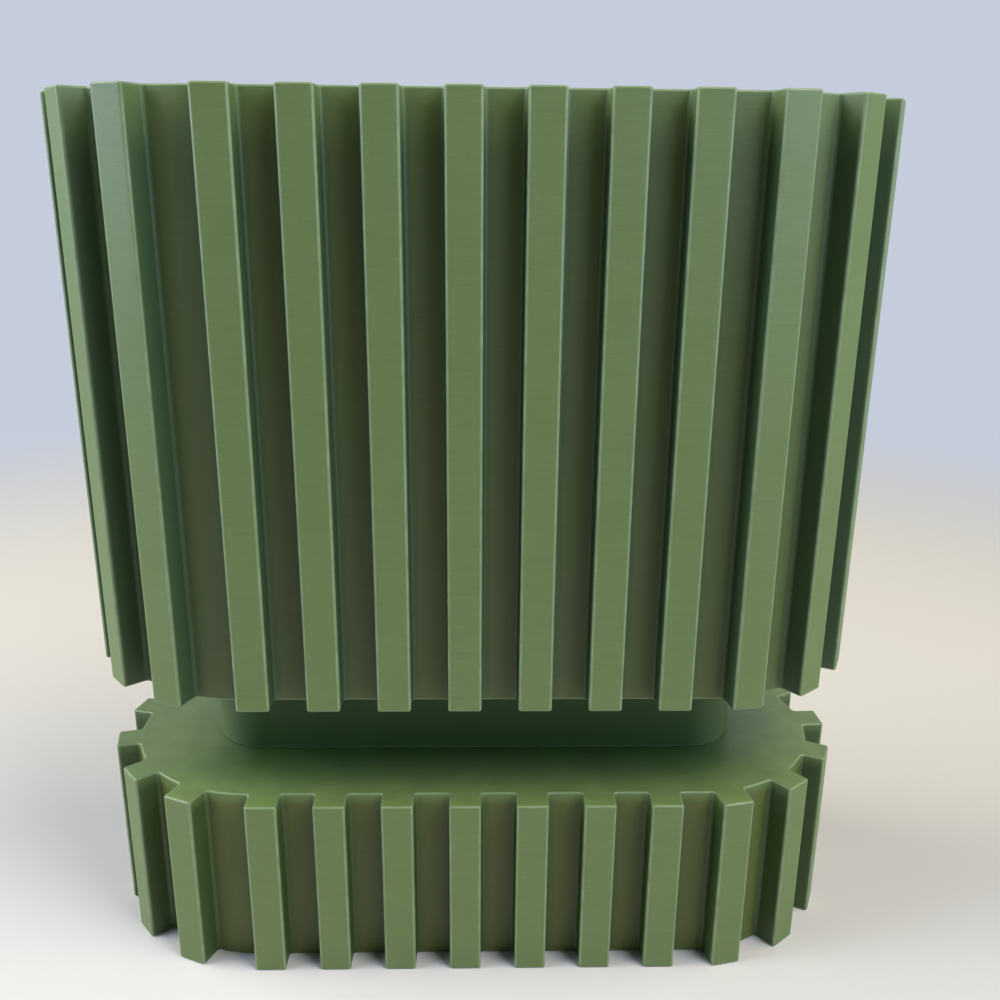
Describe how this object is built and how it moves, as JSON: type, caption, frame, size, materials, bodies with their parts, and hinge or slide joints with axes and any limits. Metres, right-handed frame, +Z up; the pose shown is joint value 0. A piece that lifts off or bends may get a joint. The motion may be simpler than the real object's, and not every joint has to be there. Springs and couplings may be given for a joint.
{
  "type": "desk planter",
  "caption": "Small racetrack planter with upright square ribs: an open pot on a recessed neck that lifts out of a matching ribbed drip base.",
  "frame": {"origin": "on the surface that the base stands on, under the middle of the racetrack plan", "axes": "+Z up, +X along the long side, front at -Y"},
  "size_m": [0.118, 0.0502, 0.1275],
  "materials": {
    "pot_plastic": "matt olive green print with fine level layer lines",
    "base_plastic": "matt olive green print with fine level layer lines and a raked top skin"
  },
  "bodies": {
    "base": {"drip_base": "base_plastic"},
    "pot": {"planter_pot": "pot_plastic"}
  },
  "joints": [
    {"name": "pot_lift", "type": "slide", "parent": "base", "child": "pot", "axis": [0, 0, 1], "range_m": [0, 0.03]}
  ]
}
